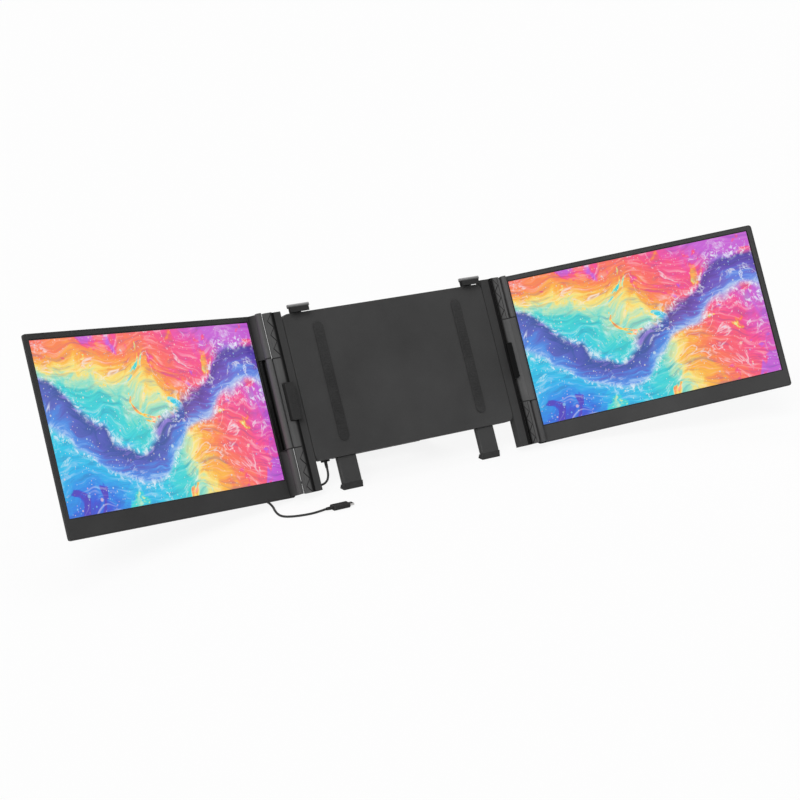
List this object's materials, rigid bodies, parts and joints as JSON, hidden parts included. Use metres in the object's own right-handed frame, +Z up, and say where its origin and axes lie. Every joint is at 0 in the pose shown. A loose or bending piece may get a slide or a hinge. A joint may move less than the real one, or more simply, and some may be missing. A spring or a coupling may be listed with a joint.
{
  "type": "laptop screen extender",
  "caption": "Pair of side monitors hinged on telescoping wings of a clip-on centre housing, with top hooks, side clips, kickstand and a short cable.",
  "frame": {"origin": "middle of the foot of the bounding box, on the desk plane, without the cable", "axes": "+Z up, +X to the right of someone facing the screens, +Y away from them"},
  "size_m": [1.0612, 0.218, 0.2579],
  "materials": {
    "housing_plastic": "fine moulded grain, satin",
    "wing_plastic": "fine moulded grain, satin",
    "cover_plastic": "satin with fine cut lines",
    "monitor_cover": "fine moulded grain, dark satin",
    "bezel_plastic": "smooth satin",
    "screen_glass": "lit picture under an anti-glare skin",
    "diffuser": "white film",
    "circuit_board": "solder mask",
    "dark_plastic": "satin",
    "hook_plastic": "satin, polished along the top edge",
    "soft_rubber": "matt",
    "acetal": "waxy",
    "bright_steel": "brushed",
    "black_steel": "blackened",
    "bronze": "oiled",
    "stand_metal": "anodised, fine blast",
    "cable_sheath": "matt"
  },
  "bodies": {
    "frame": {"front_shell": "housing_plastic", "back_shell": "housing_plastic", "lid_pads": "soft_rubber", "rail_guides": "acetal", "shell_screws": "black_steel", "stand_brackets": "dark_plastic", "support_legs": "housing_plastic", "leg_feet": "soft_rubber", "hub_box": "housing_plastic", "hub_board": "circuit_board", "hub_ports": "bright_steel", "cable": "cable_sheath", "cable_coil": "cable_sheath", "hub_plug_grip": "dark_plastic", "hub_plug_tip": "bright_steel", "laptop_plug_grip": "dark_plastic", "laptop_plug_tip": "bright_steel"},
    "left_wing": {"left_column": "wing_plastic", "left_end_covers": "cover_plastic", "left_middle_cover": "cover_plastic", "left_side_clip": "dark_plastic", "left_clip_pad": "soft_rubber", "left_arms": "bright_steel", "left_wing_screws": "black_steel", "left_hinge_bushes": "bronze"},
    "left_monitor": {"left_back_cover": "monitor_cover", "left_front_bezel": "bezel_plastic", "left_screen": "screen_glass", "left_backlight": "diffuser", "left_driver_board": "circuit_board", "left_hinge_blocks": "bezel_plastic", "left_hinge_pins": "bright_steel", "left_monitor_screws": "black_steel"},
    "left_power_key": {"left_power_button": "dark_plastic"},
    "left_menu_key": {"left_menu_button": "dark_plastic"},
    "left_hook_slide": {"left_hook": "hook_plastic", "left_hook_pad": "soft_rubber"},
    "right_wing": {"right_column": "wing_plastic", "right_end_covers": "cover_plastic", "right_middle_cover": "cover_plastic", "right_side_clip": "dark_plastic", "right_clip_pad": "soft_rubber", "right_arms": "bright_steel", "right_wing_screws": "black_steel", "right_hinge_bushes": "bronze"},
    "right_monitor": {"right_back_cover": "monitor_cover", "right_front_bezel": "bezel_plastic", "right_screen": "screen_glass", "right_backlight": "diffuser", "right_driver_board": "circuit_board", "right_hinge_blocks": "bezel_plastic", "right_hinge_pins": "bright_steel", "right_monitor_screws": "black_steel"},
    "right_power_key": {"right_power_button": "dark_plastic"},
    "right_menu_key": {"right_menu_button": "dark_plastic"},
    "right_hook_slide": {"right_hook": "hook_plastic", "right_hook_pad": "soft_rubber"},
    "kickstand": {"kickstand_plate": "stand_metal", "kickstand_pins": "bright_steel", "kickstand_foot": "soft_rubber"}
  },
  "joints": [
    {"name": "left_extend", "type": "slide", "parent": "frame", "child": "left_wing", "axis": [-1, 0, 0], "range_m": [0, 0.03]},
    {"name": "left_fold", "type": "hinge", "parent": "left_wing", "child": "left_monitor", "pos_m": [-0.186, 0.03653, 0.11135], "axis": [0, 0.4289, 0.9033], "range_deg": [-19.5, 160.5]},
    {"name": "left_hook_lift", "type": "slide", "parent": "frame", "child": "left_hook_slide", "axis": [0, 0.4289, 0.9033], "range_m": [0, 0.03]},
    {"name": "left_power_press", "type": "slide", "parent": "left_monitor", "child": "left_power_key", "axis": [0.3338, -0.8515, 0.4043], "range_m": [0, 0.0006], "stiffness_N_per_m": 500},
    {"name": "left_menu_press", "type": "slide", "parent": "left_monitor", "child": "left_menu_key", "axis": [0.3338, -0.8515, 0.4043], "range_m": [0, 0.0006], "stiffness_N_per_m": 500},
    {"name": "right_extend", "type": "slide", "parent": "frame", "child": "right_wing", "axis": [1, 0, 0], "range_m": [0, 0.03]},
    {"name": "right_fold", "type": "hinge", "parent": "right_wing", "child": "right_monitor", "pos_m": [0.186, 0.04014, 0.10964], "axis": [0, -0.4289, -0.9033], "range_deg": [-19.5, 160.5]},
    {"name": "right_hook_lift", "type": "slide", "parent": "frame", "child": "right_hook_slide", "axis": [0, 0.4289, 0.9033], "range_m": [0, 0.03]},
    {"name": "right_power_press", "type": "slide", "parent": "right_monitor", "child": "right_power_key", "axis": [-0.3338, -0.8515, 0.4043], "range_m": [0, 0.0006], "stiffness_N_per_m": 500},
    {"name": "right_menu_press", "type": "slide", "parent": "right_monitor", "child": "right_menu_key", "axis": [-0.3338, -0.8515, 0.4043], "range_m": [0, 0.0006], "stiffness_N_per_m": 500},
    {"name": "stand_fold", "type": "hinge", "parent": "frame", "child": "kickstand", "pos_m": [0, 0.05255, 0.09683], "axis": [1, 0, 0], "range_deg": [-55.08, 0]}
  ]
}
